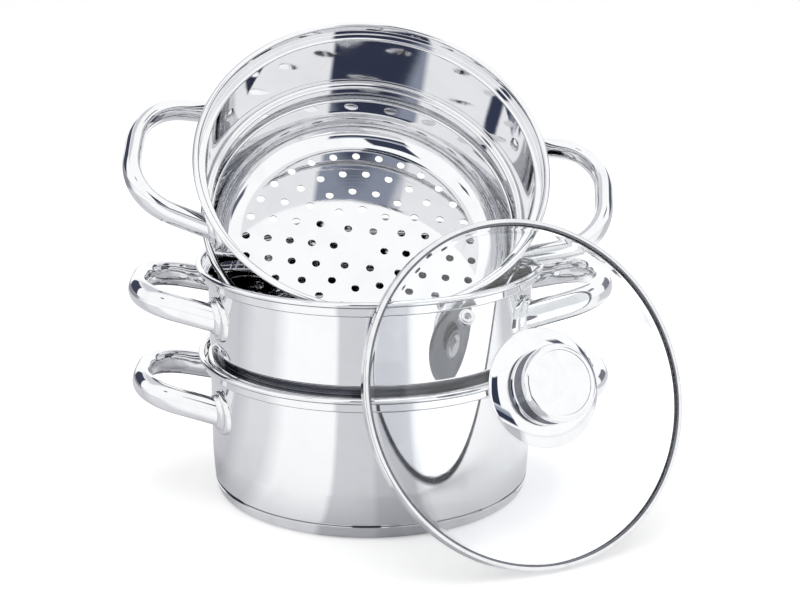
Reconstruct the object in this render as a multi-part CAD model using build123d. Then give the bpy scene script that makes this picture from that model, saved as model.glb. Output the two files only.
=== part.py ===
from build123d import *
from math import asin, cos, degrees, radians, sin, sqrt
import os

import numpy as np

# A steamer pot in polished steel sheet: a pot, two steamers with holes in the floor that nest in
# its rim, and a glass lid. All lengths are in millimetres. Z is up, the origin is the centre of the
# pot's underside, and the handles lie along X. The second steamer leans in the mouth of the first,
# and the lid stands on the table and leans on the stack.

# Vessels: the sheet, the wall and the rim that all three share
body_radius = 90.0
wall = 0.7
sharp_bend = 0.5
round_bend = 1.5
ledge_width = 3.9
ledge_depth = 6.0
lip_roll = 1.7
lip_turn = 250.0
seat_gap = 0.3
weld_gap = 0.1

# Pot and its clad base
pot_height = 81.2
heel_inset = 1.0
heel_height = 20.0
heel_bend = 5.0
core_thickness = 4.4
core_inset = 7.0
cap_sheet = 0.6
cap_corner_inset = 3.0
cap_inset = 0.4
cap_height = 7.5
cap_bend = 4.0

# Steamer: neck that hangs in the vessel below, shoulder bead that seats on its ledge, body above
steamer_height = 88.9
seat_height = 30.3
neck_gap = 4.0
floor_bend = 16.0
shoulder_gap = 1.6
shoulder_height = 6.4
waist_depth = 5.3
waist_height = 4.5

# Holes in the steamer floor: rings of six, twelve, eighteen and so on, as many as the flat part holds
hole_diameter = 4.7
first_ring_radius = 14.8
ring_pitch = 12.8
holes_per_step = 6
hole_turn = -0.9

# Handles: a loop of flattened tube on two end plates, each plate held by one rivet
tube_width = 10.0
tube_height = 15.0
tube_wall = 0.9
handle_reach = 43.6
leg_spacing = 78.0
tip_spacing = 61.0
handle_corner = 29.5
handle_rise = 13.0
leg_depth = 23.5
pot_leg_drop = 2.0
plate_width = 18.0
plate_height = 23.0
plate_thickness = 2.2
plate_edge = 0.9
spigot_length = 7.0
spigot_gap = 0.2
rivet_shank = 4.0
rivet_length = 4.2
rivet_head = 8.0
rivet_dome = 1.9
rivet_gap = 0.1

# Lid: pressed glass in a steel rim band, with a steam vent
lid_gap = 2.2
glass_thickness = 4.0
glass_apex = 22.5
brim_width = 4.5
band_sheet = 0.5
band_flange = 3.2
band_bend = 1.0
band_gap = 0.15
vent_radius = 52.5
vent_angle = 139.0
vent_bore = 3.5
vent_tube = 5.2
vent_collar = 8.3
vent_collar_height = 1.6
vent_step = 6.4
vent_step_height = 0.7
vent_foot = 7.4
vent_foot_height = 0.8
vent_gap = 0.2

# Knob: a spun shell on a round base plate, screwed through the glass
knob_plate_radius = 30.6
knob_sheet = 0.8
knob_plate_lift = 2.0
knob_foot_radius = 19.8
knob_foot_height = 1.4
knob_neck_radius = 15.6
knob_neck_height = 4.6
knob_head_radius = 19.8
knob_head_height = 10.6
knob_height = 16.0
knob_round = 2.6
knob_cap_radius = 16.2
knob_cap_sink = 0.5
knob_cap_dish = 0.8
knob_cap_sheet = 0.8
knob_gap = 0.2
screw_diameter = 5.0
screw_head_diameter = 9.0
screw_head_height = 2.6
screw_reach = 16.0
screw_gap = 0.3
washer_diameter = 16.0
washer_thickness = 1.0
seal_diameter = 20.0
seal_thickness = 1.2

# Resting pose of the second steamer and of the lid
upper_tilt = 43.0
upper_turn = 8.0
upper_spin = -3.6
lid_tilt = 65.0
lid_turn = 24.0
lid_side = 36.0
search_reach = 40.0
search_fine = 0.02
overrun = 10.0

# Sizes that follow from the ones above
inner_radius = body_radius - wall
band_radius = body_radius + ledge_width
lip_radius = band_radius - wall + lip_roll
core_radius = body_radius - core_inset
cap_corner_radius = body_radius - cap_corner_inset
cap_radius = body_radius - cap_inset
neck_radius = inner_radius - neck_gap
shoulder_radius = band_radius - wall - shoulder_gap
waist_radius = shoulder_radius - waist_depth
lid_radius = band_radius - wall - lid_gap
ring_room = neck_radius - floor_bend - hole_diameter / 2 - first_ring_radius
ring_count = int(ring_room / ring_pitch) + 1
pot_lip = pot_height - lip_roll
steamer_lip = steamer_height - lip_roll
steamer_leg = steamer_lip - leg_depth
pot_leg = pot_lip - leg_depth - pot_leg_drop
pot_floor = cap_sheet + core_thickness
lower_height = pot_lip - ledge_depth + seat_gap - seat_height
band_height = glass_thickness + 2 * (band_sheet + band_gap)
brim_top = band_sheet + band_gap + glass_thickness
knob_base = glass_apex + knob_plate_lift


def sheet(path, thickness, side):
    """A section of sheet metal: a line drawn on one face, thickened to one side."""
    return make_face(offset(Wire(path.edges()), amount=thickness, side=side, closed=True))


def spin(section):
    """A round piece about the Z axis from its section in the XZ plane."""
    return revolve(Plane.XZ * section, axis=Axis.Z)


def disc(radius, low, high, bore=0):
    """A flat disc or ring between two heights."""
    piece = Pos(0, 0, low) * Cylinder(radius, high - low, align=(Align.CENTER, Align.CENTER, Align.MIN))
    if bore:
        piece -= Pos(0, 0, low) * Cylinder(bore, high - low, align=(Align.CENTER, Align.CENTER, Align.MIN))
    return piece


def rimmed_section(low_points, low_bends, lip):
    """A vessel's section: its lower points, then the ledge, the band and the rolled lip."""
    ledge = lip - ledge_depth
    points = low_points + [(inner_radius, ledge), (band_radius - wall, ledge), (band_radius - wall, lip)]
    bends = low_bends + [sharp_bend + wall, sharp_bend]
    curl = CenterArc((lip_radius, lip), lip_roll, 180, -lip_turn)
    return sheet(FilletPolyline(*points, radius=bends) + curl, wall, Side.RIGHT)


def pot_section():
    top = pot_floor + wall
    points = [(0, top), (inner_radius - heel_inset, top), (inner_radius, pot_floor + heel_height)]
    return rimmed_section(points, [heel_bend - wall, heel_height], pot_lip)


def steamer_section():
    seat = seat_height + wall
    shoulder_top = seat_height + shoulder_height - wall
    body_low = seat_height + shoulder_height + waist_height + wall
    neck, shoulder, waist = neck_radius - wall, shoulder_radius - wall, waist_radius - wall
    points = [(0, wall), (neck, wall), (neck, seat), (shoulder, seat), (shoulder, shoulder_top),
              (waist, shoulder_top), (waist, body_low), (inner_radius, body_low)]
    bends = [floor_bend - wall, sharp_bend + wall, round_bend, round_bend,
             sharp_bend + wall, sharp_bend + wall, round_bend]
    return rimmed_section(points, bends, steamer_lip)


def pot_base():
    """The aluminium core under the pot's floor and the steel cap that closes it."""
    core = disc(core_radius, cap_sheet, pot_floor)
    path = FilletPolyline((0, 0), (cap_corner_radius, 0), (cap_radius, cap_height), radius=cap_bend)
    return core, spin(sheet(path, cap_sheet, Side.LEFT))


def floor_holes():
    """One drill for each hole of the steamer floor, ring by ring."""
    drill = Cylinder(hole_diameter / 2, 4 * wall)
    rings = [PolarLocations(first_ring_radius + ring_pitch * ring, holes_per_step * (ring + 1), hole_turn)
             for ring in range(ring_count)]
    return [place * drill for ring in rings for place in ring]


# A handle stands on the wall at its two legs. Its plane rises outward from the leg line.
leg_half = leg_spacing / 2
leg_line = sqrt(body_radius**2 - leg_half**2)
leg_azimuth = degrees(asin(leg_half / body_radius))


def handle_plane(height):
    """The tilted plane of a right-hand handle, with its origin between the legs."""
    return Plane(origin=(leg_line, 0, height), x_dir=(cos(radians(handle_rise)), 0, sin(radians(handle_rise))),
                 z_dir=(-sin(radians(handle_rise)), 0, cos(radians(handle_rise))))


def handle_tip():
    """How far out along its plane a handle's centre line reaches."""
    return (body_radius + handle_reach - leg_line) / cos(radians(handle_rise)) - tube_width / 2


def handle_line():
    """The centre line of a handle in its own plane, from inside the wall round to the other leg."""
    tip, narrowing = handle_tip(), (leg_spacing - tip_spacing) / 2
    start = leg_half + overrun * narrowing / tip
    return FilletPolyline((-overrun, start), (tip, tip_spacing / 2), (tip, -tip_spacing / 2), (-overrun, -start),
                          radius=handle_corner)


def leg_plane(height, sign):
    """The plane across a leg where it meets the wall: its normal runs out along the leg."""
    plane = handle_plane(height)
    out = plane.x_dir * handle_tip() + Vector(0, sign * (tip_spacing - leg_spacing) / 2, 0)
    origin = plane.origin + Vector(0, sign * leg_half, 0)
    return Plane(origin=origin, x_dir=plane.z_dir.cross(out), z_dir=out)


def ellipse_along(plane, width, height, length):
    """An oval bar that starts on a plane and runs along its normal."""
    return extrude(plane * Ellipse(width / 2, height / 2), amount=length)


def handle_tube(height):
    line = handle_plane(height) * handle_line()
    start = leg_plane(height, 1).offset(-overrun)
    outside = Ellipse(tube_width / 2, tube_height / 2)
    bore = Ellipse(tube_width / 2 - tube_wall, tube_height / 2 - tube_wall)
    tube = sweep(start * (outside - bore), path=line)
    face = body_radius + weld_gap + plate_thickness + weld_gap
    return tube - Pos(0, 0, height) * Cylinder(face, 4 * tube_height)


def rivet_place(height, sign):
    """The frame of a rivet in a right-hand handle's leg: Z points out through the wall."""
    turn = radians(sign * leg_azimuth)
    outward = (cos(turn), sin(turn), 0)
    seat = sqrt(inner_radius**2 - (rivet_head / 2)**2) - rivet_gap
    return Plane(origin=(seat * cos(turn), seat * sin(turn), height), z_dir=outward).location


def handle_plate(height, sign):
    """An oval end plate that hugs the wall, with a spigot inside the tube and a rivet hole."""
    start = leg_plane(height, sign).offset(-overrun)
    ring = disc(body_radius + weld_gap + plate_thickness, height - plate_height, height + plate_height,
                body_radius + weld_gap)
    plate = ellipse_along(start, plate_width, plate_height, 2 * overrun) & ring
    front = plate.faces().sort_by(SortBy.AREA)[-1]
    plate = fillet(front.edges(), plate_edge)
    play = tube_wall + spigot_gap
    spigot = ellipse_along(start, tube_width - 2 * play, tube_height - 2 * play, overrun + spigot_length)
    spigot -= Pos(0, 0, height) * Cylinder(body_radius + weld_gap, 2 * plate_height)
    hole = rivet_place(height, sign) * Cylinder(rivet_shank / 2 + rivet_gap, 2 * (rivet_length + wall))
    return plate + spigot - hole


def rivet(height, sign):
    """A rivet with a domed head on the inside of the wall."""
    head_radius = rivet_head / 2
    dome_radius = (head_radius**2 + rivet_dome**2) / (2 * rivet_dome)
    dome = Pos(0, 0, dome_radius - rivet_dome) * Sphere(dome_radius)
    head = dome & Pos(0, 0, -rivet_dome) * Cylinder(head_radius + rivet_gap, rivet_dome,
                                                   align=(Align.CENTER, Align.CENTER, Align.MIN))
    shank = Cylinder(rivet_shank / 2, rivet_length + wall, align=(Align.CENTER, Align.CENTER, Align.MIN))
    return rivet_place(height, sign) * (head + shank)


def both_sides(piece):
    return [piece, piece.mirror(Plane.YZ)]


def handle_set(height):
    """Right tube, left tube, the four plates, the four rivets and the holes for them in the wall."""
    right, left = both_sides(handle_tube(height))
    plates = [each for sign in (1, -1) for each in both_sides(handle_plate(height, sign))]
    rivets = [each for sign in (1, -1) for each in both_sides(rivet(height, sign))]
    drill = Cylinder(rivet_shank / 2 + rivet_gap, 4 * (wall + rivet_gap + rivet_dome))
    holes = [each for sign in (1, -1) for each in both_sides(rivet_place(height, sign) * drill)]
    return right, left, Compound(plates), Compound(rivets), holes


# The glass is a dome with a narrow flat brim.
glass_edge = lid_radius - band_sheet - band_gap
brim_inner = glass_edge - brim_width
dome_rise = glass_apex - brim_top
dome_radius = (brim_inner**2 + dome_rise**2) / (2 * dome_rise)


def glass_height(radius):
    """Height of the glass's upper face above the underside of the rim band."""
    return glass_apex - dome_radius + sqrt(dome_radius**2 - radius**2)


def glass_section():
    bore = screw_diameter / 2 + screw_gap
    middle = (bore + brim_inner) / 2
    dome = ThreePointArc((bore, glass_height(bore)), (middle, glass_height(middle)), (brim_inner, brim_top))
    brim = Line((brim_inner, brim_top), (glass_edge, brim_top))
    return sheet(Wire([dome, brim]), glass_thickness, Side.RIGHT)


def lid_glass():
    return spin(glass_section()) - vent_place() * Cylinder(vent_tube / 2 + vent_gap, 4 * glass_thickness)


def band_section():
    """The steel channel round the glass, open towards the middle."""
    inner = lid_radius - band_flange
    path = FilletPolyline((inner, 0), (lid_radius, 0), (lid_radius, band_height), (inner, band_height),
                          radius=band_bend)
    return sheet(path, band_sheet, Side.LEFT)


def vent_place():
    """The frame of the vent on the glass's upper face, square to the dome."""
    turn, slope = radians(vent_angle), asin(vent_radius / dome_radius)
    normal = (sin(slope) * cos(turn), sin(slope) * sin(turn), cos(slope))
    origin = (vent_radius * cos(turn), vent_radius * sin(turn), glass_height(vent_radius))
    return Plane(origin=origin, z_dir=normal).location


def vent_eyelet():
    bore, foot = vent_bore / 2, -glass_thickness - vent_gap
    points = [(bore, vent_collar_height), (vent_step / 2, vent_collar_height), (vent_step / 2, vent_step_height),
              (vent_collar / 2, vent_step_height), (vent_collar / 2, vent_gap), (vent_tube / 2, vent_gap),
              (vent_tube / 2, foot), (vent_foot / 2, foot), (vent_foot / 2, foot - vent_foot_height),
              (bore, foot - vent_foot_height)]
    return vent_place() * spin(make_face(Polyline(*points, close=True)))


def knob_plate():
    """The round base plate that spreads the knob's load over the glass."""
    bore = screw_diameter / 2 + screw_gap
    rim = glass_height(knob_plate_radius) + knob_gap + knob_sheet
    flat = Line((bore, knob_base), (knob_foot_radius, knob_base))
    skirt = TangentArc((knob_foot_radius, knob_base), (knob_plate_radius, rim), tangent=(1, 0))
    return spin(sheet(Wire([flat, skirt]), knob_sheet, Side.RIGHT))


def knob_shell():
    """The spun shell: a foot, a narrow neck and a full head whose edge turns in round the cap."""
    foot = knob_base + weld_gap
    path = FilletPolyline((knob_foot_radius, foot), (knob_foot_radius, foot + knob_foot_height),
                          (knob_neck_radius, foot + knob_neck_height), (knob_head_radius, foot + knob_head_height),
                          (knob_head_radius, foot + knob_height), (knob_cap_radius + knob_gap, foot + knob_height),
                          radius=[knob_sheet, knob_round, knob_round, knob_round])
    return spin(sheet(path, knob_sheet, Side.LEFT))


def knob_core():
    """The turned core inside the shell, which takes the screw and carries the cap."""
    foot = knob_base + weld_gap
    bore = screw_diameter / 2 + knob_gap
    radius = knob_neck_radius - knob_sheet - knob_gap
    return disc(radius, foot, cap_seat(), bore)


def cap_seat():
    """Height of the core's top, on which the knob's cap sits."""
    return knob_base + weld_gap + knob_height - knob_cap_sink - knob_cap_dish - knob_cap_sheet - knob_gap


def knob_cap():
    """The dished disc in the top of the knob."""
    low = cap_seat() + knob_gap
    edge, middle = low + knob_cap_sheet + knob_cap_dish, low + knob_cap_sheet
    bend = (knob_cap_radius**2 + knob_cap_dish**2) / (2 * knob_cap_dish)
    half = knob_cap_radius / 2
    dish = ThreePointArc((0, middle), (half, middle + bend - sqrt(bend**2 - half**2)), (knob_cap_radius, edge))
    return spin(sheet(dish, knob_cap_sheet, Side.RIGHT))


def knob_seals():
    """The soft rings above and below the glass."""
    bore = screw_diameter / 2 + screw_gap
    under = glass_apex - glass_thickness
    above = disc(seal_diameter / 2, glass_apex, glass_apex + seal_thickness, bore)
    below = disc(seal_diameter / 2, under - seal_sag() - seal_thickness, under - seal_sag(), bore)
    return Compound([above, below])


def seal_sag():
    """How far the dome's underside falls away over the width of a seal."""
    inner_dome = dome_radius - glass_thickness
    return inner_dome - sqrt(inner_dome**2 - (seal_diameter / 2)**2)


def knob_washer():
    top = glass_apex - glass_thickness - seal_sag() - seal_thickness
    return disc(washer_diameter / 2, top - washer_thickness, top, screw_diameter / 2 + screw_gap)


def knob_screw():
    seat = glass_apex - glass_thickness - seal_sag() - seal_thickness - washer_thickness
    head = disc(screw_head_diameter / 2, seat - screw_head_height, seat)
    return head + disc(screw_diameter / 2, seat, seat + screw_reach)


def lean_axes(tilt, turn, spin_angle=0.0):
    """Unit axes of a piece whose own Z leans toward the viewer, turned about Z and spun in its plane."""
    lean, side, roll = radians(tilt), radians(turn), radians(spin_angle)
    normal = np.array([sin(lean) * sin(side), -sin(lean) * cos(side), cos(lean)])
    across = np.array([1.0, 0.0, 0.0]) - normal[0] * normal
    across /= np.linalg.norm(across)
    up = np.cross(normal, across)
    return np.vstack([across * cos(roll) + up * sin(roll), up * cos(roll) - across * sin(roll), normal])


def outline_points(section, steps=500, turns=360):
    """Points spread over a round piece: its section's outline carried round the Z axis."""
    wire = section.face().outer_wire()
    outline = [wire @ (step / steps) for step in range(steps)]
    angles = np.linspace(0, 2 * np.pi, turns, endpoint=False)
    radii = np.array([point.X for point in outline])[:, None]
    heights = np.array([point.Y for point in outline])[:, None]
    flat = [radii * np.cos(angles), radii * np.sin(angles), heights + 0 * angles]
    return np.stack(flat, axis=-1).reshape(-1, 3)


def loop_points(height, steps=120, turns=24):
    """Points on the outside of both handle tubes, with the plates' size near the wall."""
    line = handle_plane(height) * handle_line()
    up = handle_plane(height).z_dir
    points = []
    for step in range(steps + 1):
        centre, ahead = line @ (step / steps), line % (step / steps)
        side = ahead.cross(up)
        reach = sqrt(centre.X**2 + centre.Y**2) - body_radius
        at_plate = reach < plate_thickness + 2 * weld_gap
        wide, tall = (plate_width, plate_height) if at_plate else (tube_width, tube_height)
        for turn in range(turns):
            angle = 2 * np.pi * turn / turns
            point = centre + side * (wide / 2 * cos(angle)) + up * (tall / 2 * sin(angle))
            points += [(point.X, point.Y, point.Z), (-point.X, point.Y, point.Z)]
    return np.array(points)


def mouth_height(radius, lip):
    """Height of the first metal under a point above a steamer's mouth, with the seat gap added."""
    roll = lip_roll + seat_gap
    across = np.minimum(np.abs(radius - lip_radius), roll)
    floor = lip - steamer_lip
    height = np.where(radius > inner_radius - seat_gap, lip - ledge_depth + seat_gap, floor + wall + seat_gap)
    height = np.where(np.abs(radius - lip_radius) < roll, lip + np.sqrt(roll**2 - across**2), height)
    return np.where(radius >= lip_radius + roll, floor - steamer_height, height)


def settle(points, lip):
    """Lower a leaning piece into a mouth: shift it sideways to where it comes to lie lowest."""
    def rest(shift):
        reach = np.hypot(points[:, 0] + shift[0], points[:, 1] + shift[1])
        return np.max(mouth_height(reach, lip) - points[:, 2])

    best, step = np.zeros(2), search_reach
    height = rest(best)
    while step > search_fine:
        ring = [best + step * np.array([cos(turn), sin(turn)]) for turn in np.linspace(0, 2 * np.pi, 12, False)]
        heights = [rest(shift) for shift in ring]
        lowest = int(np.argmin(heights))
        if heights[lowest] < height:
            best, height = ring[lowest], heights[lowest]
        else:
            step /= 2
    return best[0], best[1], height


def placed(axes, origin):
    return Plane(origin=tuple(origin), x_dir=tuple(axes[0]), z_dir=tuple(axes[2])).location


def upper_pose():
    """The second steamer leans in the first one's mouth, held at the lip and by its front legs."""
    axes = lean_axes(upper_tilt, upper_turn, upper_spin)
    points = np.vstack([outline_points(steamer_section()), loop_points(steamer_leg)])
    return placed(axes, settle(points @ axes, lower_height + steamer_lip))


def lid_pose():
    """The lid stands on its band and leans on the lip of the first steamer."""
    axes = lean_axes(lid_tilt, lid_turn)
    points = np.vstack([outline_points(band_section(), 200, 1440), outline_points(glass_section(), 200, 720)]) @ axes
    stand = -points[:, 2].min()
    away = np.array([sin(radians(lid_turn)), -cos(radians(lid_turn))])
    across = np.array([cos(radians(lid_turn)), sin(radians(lid_turn))])
    height = points[:, 2] + stand - (lower_height + steamer_lip)
    roll = lip_roll + seat_gap
    touching = np.abs(height) < roll
    reach = lip_radius + np.sqrt(roll**2 - height[touching]**2)
    side = points[touching][:, :2] @ across + lid_side
    hits = np.abs(side) < reach
    distance = np.sqrt(reach[hits]**2 - side[hits]**2) - points[touching][hits][:, :2] @ away
    base = across * lid_side + away * distance.max()
    return placed(axes, (base[0], base[1], stand))


def steamer(name, place):
    """One steamer's sub-parts, in place."""
    right, left, plates, rivets, holes = handle_set(steamer_leg)
    shell = spin(steamer_section()) - floor_holes() - holes
    pieces = {"shell": shell, "handle_right": right, "handle_left": left, "handle_plates": plates, "rivets": rivets}
    return {f"{name}_{key}": place * piece for key, piece in pieces.items()}


def pot():
    right, left, plates, rivets, holes = handle_set(pot_leg)
    core, cap = pot_base()
    return {"pot_shell": spin(pot_section()) - holes, "pot_base_core": core, "pot_base_cap": cap,
            "pot_handle_right": right, "pot_handle_left": left, "pot_handle_plates": plates, "pot_rivets": rivets}


def lid(place):
    pieces = {"lid_glass": lid_glass(), "lid_rim_band": spin(band_section()), "lid_vent_eyelet": vent_eyelet(),
              "knob_base_plate": knob_plate(), "knob_shell": knob_shell(), "knob_core": knob_core(),
              "knob_cap": knob_cap(), "knob_seals": knob_seals(), "knob_washer": knob_washer(),
              "knob_screw": knob_screw()}
    return {name: place * piece for name, piece in pieces.items()}


os.makedirs("parts", exist_ok=True)
model = pot() | steamer("lower_steamer", Pos(0, 0, lower_height)) | steamer("upper_steamer", upper_pose())
model |= lid(lid_pose())
for name, piece in model.items():
    export_step(piece, f"parts/{name}.step")
    print(name, round(piece.volume / body_radius**3, 5))
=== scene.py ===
from math import asin, cos, pi, radians, sin, sqrt, tan

import bmesh
import bpy
from mathutils import Matrix, Vector


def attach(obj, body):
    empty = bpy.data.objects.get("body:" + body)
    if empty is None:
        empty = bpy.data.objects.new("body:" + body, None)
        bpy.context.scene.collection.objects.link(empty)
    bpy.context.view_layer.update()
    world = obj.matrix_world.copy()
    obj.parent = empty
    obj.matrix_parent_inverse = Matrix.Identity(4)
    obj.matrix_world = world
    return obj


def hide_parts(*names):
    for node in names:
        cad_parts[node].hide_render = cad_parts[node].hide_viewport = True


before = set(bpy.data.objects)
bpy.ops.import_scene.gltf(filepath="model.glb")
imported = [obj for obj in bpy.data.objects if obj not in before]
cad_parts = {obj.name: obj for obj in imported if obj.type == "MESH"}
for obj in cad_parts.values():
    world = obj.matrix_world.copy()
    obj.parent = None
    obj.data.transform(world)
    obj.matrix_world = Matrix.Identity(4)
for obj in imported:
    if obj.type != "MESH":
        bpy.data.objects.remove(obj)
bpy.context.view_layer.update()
scene = bpy.context.scene
mm = 0.001
print("frame loaded")

# Where the four bodies stand: the second steamer and the lid lean, so they have their own axes
restingPlaces = {
    "pot": {"origin": (0.0, 0.0, 0.0), "across": (1.0, 0.0, 0.0), "normal": (0.0, 0.0, 1.0)},
    "lower_steamer": {"origin": (0.0, 0.0, 43.5), "across": (1.0, 0.0, 0.0), "normal": (0.0, 0.0, 1.0)},
    "upper_steamer": {"origin": (-6.4, 42.59, 125.64), "across": (0.993521, 0.018136, -0.112193),
                      "normal": (0.094916, -0.675361, 0.731354)},
    "lid": {"origin": (79.4097, -89.8478, 82.144), "across": (0.929577, 0.328329, -0.167592),
            "normal": (0.368629, -0.827953, 0.422618)},
}


def bodyMatrix(body):
    place = restingPlaces[body]
    across, normal = Vector(place["across"]), Vector(place["normal"])
    up = normal.cross(across)
    matrix = Matrix((across, up, normal)).transposed().to_4x4()
    matrix.translation = Vector(place["origin"]) * mm
    return matrix


def addObject(name, data):
    added = bpy.data.objects.new(name, data)
    scene.collection.objects.link(added)
    return added


# Camera at the photograph's angle
view = {"place": (0.0, -0.9135, 0.3664), "lookDown": 0.2769, "turn": -0.0183, "lens": 76.17,
        "sensor": 36, "nearest": 0.05}
camera = addObject("camera", bpy.data.cameras.new("camera"))
camera.location = view["place"]
camera.rotation_euler = (pi / 2 - view["lookDown"], 0, view["turn"])
camera.data.lens = view["lens"]
camera.data.sensor_width = view["sensor"]
camera.data.clip_start = view["nearest"]
scene.camera = camera
scene.view_settings.view_transform = "Standard"


# Node helpers: one call places a node and fills or links its sockets
def put(tree, kind, sockets=None, **settings):
    node = tree.nodes.new(kind)
    for key, value in settings.items():
        setattr(node, key, value)
    for key, value in (sockets or {}).items():
        if isinstance(value, bpy.types.NodeSocket):
            tree.links.new(value, node.inputs[key])
        else:
            node.inputs[key].default_value = value
    return node


def calc(tree, operation, first, second=0.0, third=0.0, clamp=False):
    sockets = {0: first, 1: second, 2: third}
    return put(tree, "ShaderNodeMath", sockets, operation=operation, use_clamp=clamp).outputs[0]


def combine(tree, x=0.0, y=0.0, z=0.0):
    return put(tree, "ShaderNodeCombineXYZ", {0: x, 1: y, 2: z}).outputs[0]


def split(tree, vector):
    return put(tree, "ShaderNodeSeparateXYZ", {0: vector}).outputs


def flatLength(tree, parts):  # how far a point is from the upright axis
    squares = [calc(tree, "MULTIPLY", parts[axis], parts[axis]) for axis in (0, 1)]
    return calc(tree, "SQRT", calc(tree, "ADD", *squares))


def soften(tree, value, low, high):
    return put(tree, "ShaderNodeMapRange", {"Value": value, "From Min": low, "From Max": high},
               interpolation_type="SMOOTHSTEP").outputs["Result"]


def mixColour(tree, factor, first, second, blend="MIX"):
    sockets = {0: factor, 6: first, 7: second}
    return put(tree, "ShaderNodeMix", sockets, data_type="RGBA", blend_type=blend).outputs[2]


def startGroup(name, inputs, outputs):
    group = bpy.data.node_groups.new(name, "ShaderNodeTree")
    for label, kind, value in inputs:
        socket = group.interface.new_socket(label, in_out="INPUT", socket_type="NodeSocket" + kind)
        if value is not None:
            socket.default_value = value
    for label, kind in outputs:
        group.interface.new_socket(label, in_out="OUTPUT", socket_type="NodeSocket" + kind)
    return group, group.nodes.new("NodeGroupInput").outputs, group.nodes.new("NodeGroupOutput").inputs


def useGroup(tree, group, sockets):
    return put(tree, "ShaderNodeGroup", sockets, node_tree=group).outputs


# How the finish patterns are laid out, beside the sizes that each look gives them
pattern = {"lineDetail": 3.0, "lineRoughness": 0.6, "driftScale": 12.0, "waveDetail": 1.0,
           "markDetail": 4.0, "markRoughness": 0.6, "markDistortion": 0.6,
           "markFrom": 0.42, "markTo": 0.72}


# Fine circles that the spinning and polishing of sheet metal leave about a piece's own axis
def buildSpunLines():
    group, given, result = startGroup("Spun lines", [
        ("Vector", "Vector", None), ("Line Pitch", "Float", 0.8),
        ("Drift", "Float", 0.4)], [("Height", "Float")])
    at = split(group, given["Vector"])
    radius = flatLength(group, at)
    scale = calc(group, "DIVIDE", 1 / mm, given["Line Pitch"])
    drift = calc(group, "MULTIPLY", given["Drift"], pattern["driftScale"])
    outward = calc(group, "MULTIPLY_ADD", radius, scale, calc(group, "MULTIPLY", at[0], drift))
    upward = calc(group, "MULTIPLY_ADD", at[2], scale, calc(group, "MULTIPLY", at[1], drift))
    lines = put(group, "ShaderNodeTexNoise", {
        "Vector": combine(group, outward, upward), "Scale": 1.0, "Detail": pattern["lineDetail"],
        "Roughness": pattern["lineRoughness"]})
    group.links.new(lines.outputs["Fac"], result["Height"])
    return group


# Soft waves of pressed sheet, which bend reflections
def buildSheetWaves():
    group, given, result = startGroup("Sheet waves", [
        ("Vector", "Vector", None), ("Wave Length", "Float", 30.0)],
        [("Height", "Float")])
    scale = calc(group, "DIVIDE", 1 / mm, given["Wave Length"])
    waves = put(group, "ShaderNodeTexNoise", {"Vector": given["Vector"], "Scale": scale,
                                              "Detail": pattern["waveDetail"]})
    group.links.new(waves.outputs["Fac"], result["Height"])
    return group


# Smudges and wiping marks that vary the gloss and very slightly the tone
def buildPolishMarks():
    group, given, result = startGroup("Polish marks", [
        ("Vector", "Vector", None), ("Mark Size", "Float", 18.0),
        ("Bright", "Float", 0.04), ("Dull", "Float", 0.1),
        ("Clean Colour", "Color", (0.8, 0.8, 0.81, 1)),
        ("Handled Colour", "Color", (0.74, 0.74, 0.76, 1))],
        [("Color", "Color"), ("Roughness", "Float")])
    scale = calc(group, "DIVIDE", 1 / mm, given["Mark Size"])
    cloud = put(group, "ShaderNodeTexNoise", {
        "Vector": given["Vector"], "Scale": scale, "Detail": pattern["markDetail"],
        "Roughness": pattern["markRoughness"], "Distortion": pattern["markDistortion"]}).outputs["Fac"]
    mask = soften(group, cloud, pattern["markFrom"], pattern["markTo"])
    rough = put(group, "ShaderNodeMix", {0: mask, 2: given["Bright"], 3: given["Dull"]}).outputs[0]
    colour = mixColour(group, mask, given["Clean Colour"], given["Handled Colour"])
    group.links.new(colour, result["Color"])
    group.links.new(rough, result["Roughness"])
    return group


spunLines = buildSpunLines()
sheetWaves = buildSheetWaves()
polishMarks = buildPolishMarks()


def startMaterial(name):
    material = bpy.data.materials.new(name)
    material.use_nodes = True
    tree = material.node_tree
    tree.nodes.clear()
    shader = put(tree, "ShaderNodeBsdfPrincipled")
    put(tree, "ShaderNodeOutputMaterial", {"Surface": shader.outputs[0]})
    return material, tree, shader


def markedFinish(name, look):  # a material with its constants and polish marks, and the place it reads
    material, tree, shader = startMaterial(name)
    if look["ownAxes"]:
        place = put(tree, "ShaderNodeAttribute", attribute_name="place").outputs["Vector"]
    else:
        place = put(tree, "ShaderNodeTexCoord").outputs["Object"]
    marks = useGroup(tree, polishMarks, {
        "Vector": place, "Mark Size": look["markSize"], "Bright": look["bright"], "Dull": look["dull"],
        "Clean Colour": (*look["clean"], 1), "Handled Colour": (*look["handled"], 1)})
    for socket, value in look["constants"].items():
        shader.inputs[socket].default_value = value
    tree.links.new(marks["Color"], shader.inputs["Base Color"])
    tree.links.new(marks["Roughness"], shader.inputs["Roughness"])
    return material, tree, shader, place


def steel(name, look):
    material, tree, shader, place = markedFinish(name, {
        "ownAxes": True, "constants": {"Metallic": 1.0}, **look})
    waves = useGroup(tree, sheetWaves, {"Vector": place, "Wave Length": look["waveLength"]})
    lines = useGroup(tree, spunLines, {"Vector": place, "Line Pitch": look["linePitch"],
                                       "Drift": look["drift"]})
    wavy = put(tree, "ShaderNodeBump", {"Height": waves["Height"], "Distance": look["waveDepth"] * mm,
                                        "Strength": 1.0})
    lined = put(tree, "ShaderNodeBump", {"Height": lines["Height"], "Distance": look["lineDepth"] * mm,
                                         "Strength": 1.0, "Normal": wavy.outputs[0]})
    tree.links.new(lined.outputs[0], shader.inputs["Normal"])
    return material


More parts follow.
